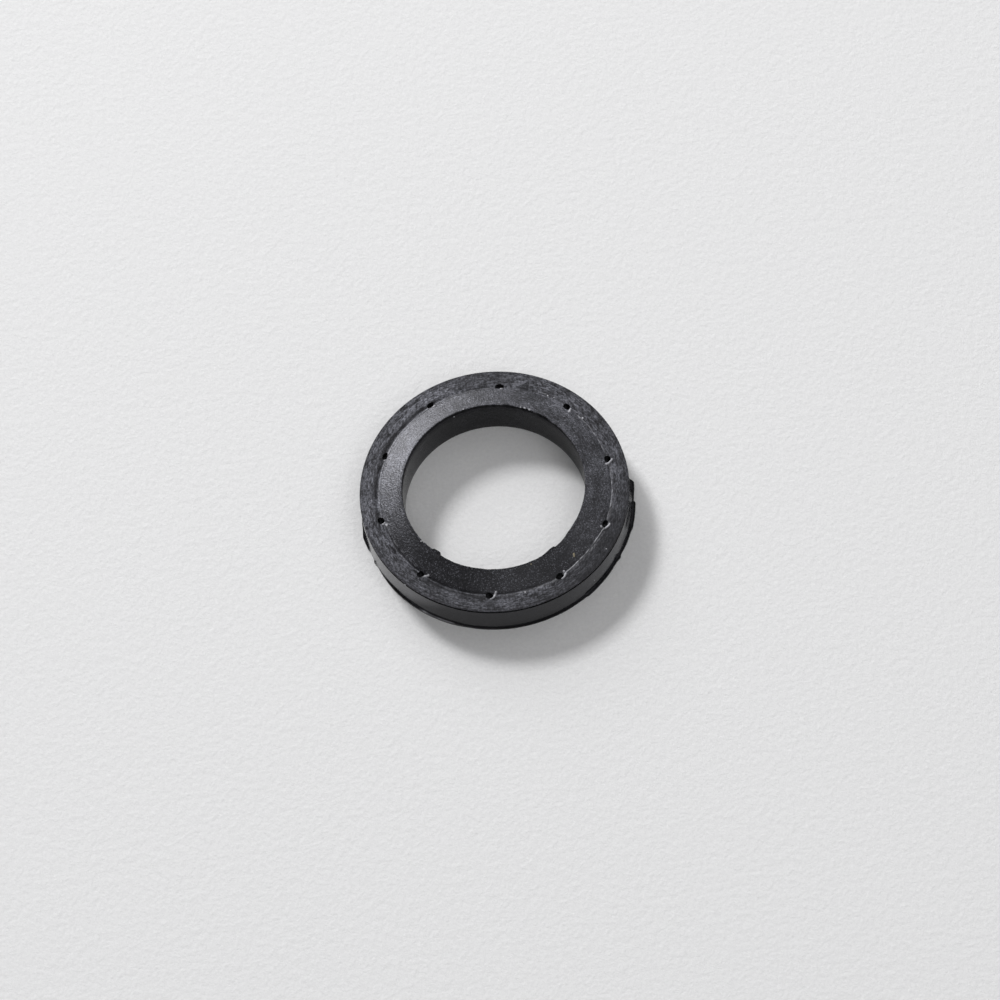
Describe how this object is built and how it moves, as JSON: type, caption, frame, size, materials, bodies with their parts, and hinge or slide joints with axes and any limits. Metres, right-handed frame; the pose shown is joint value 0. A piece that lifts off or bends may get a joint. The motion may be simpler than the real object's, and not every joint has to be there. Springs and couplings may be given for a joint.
{
  "type": "sealing washer",
  "caption": "Round moulded rubber sealing washer: a flat outer band and a raised inner lip sloping up to the bore, with blind pin marks in the groove at the lip's foot.",
  "frame": {"origin": "centre of the bore on the flat base face", "axes": "+Z along the bore's axis, out of the side with the raised lip; +X and +Y lie in the base face"},
  "size_m": [0.0246, 0.0241, 0.0042],
  "materials": {
    "rubber": "matt moulded black rubber with a greyish bloom on the top"
  },
  "bodies": {
    "root": {"washer": "rubber"}
  },
  "joints": []
}
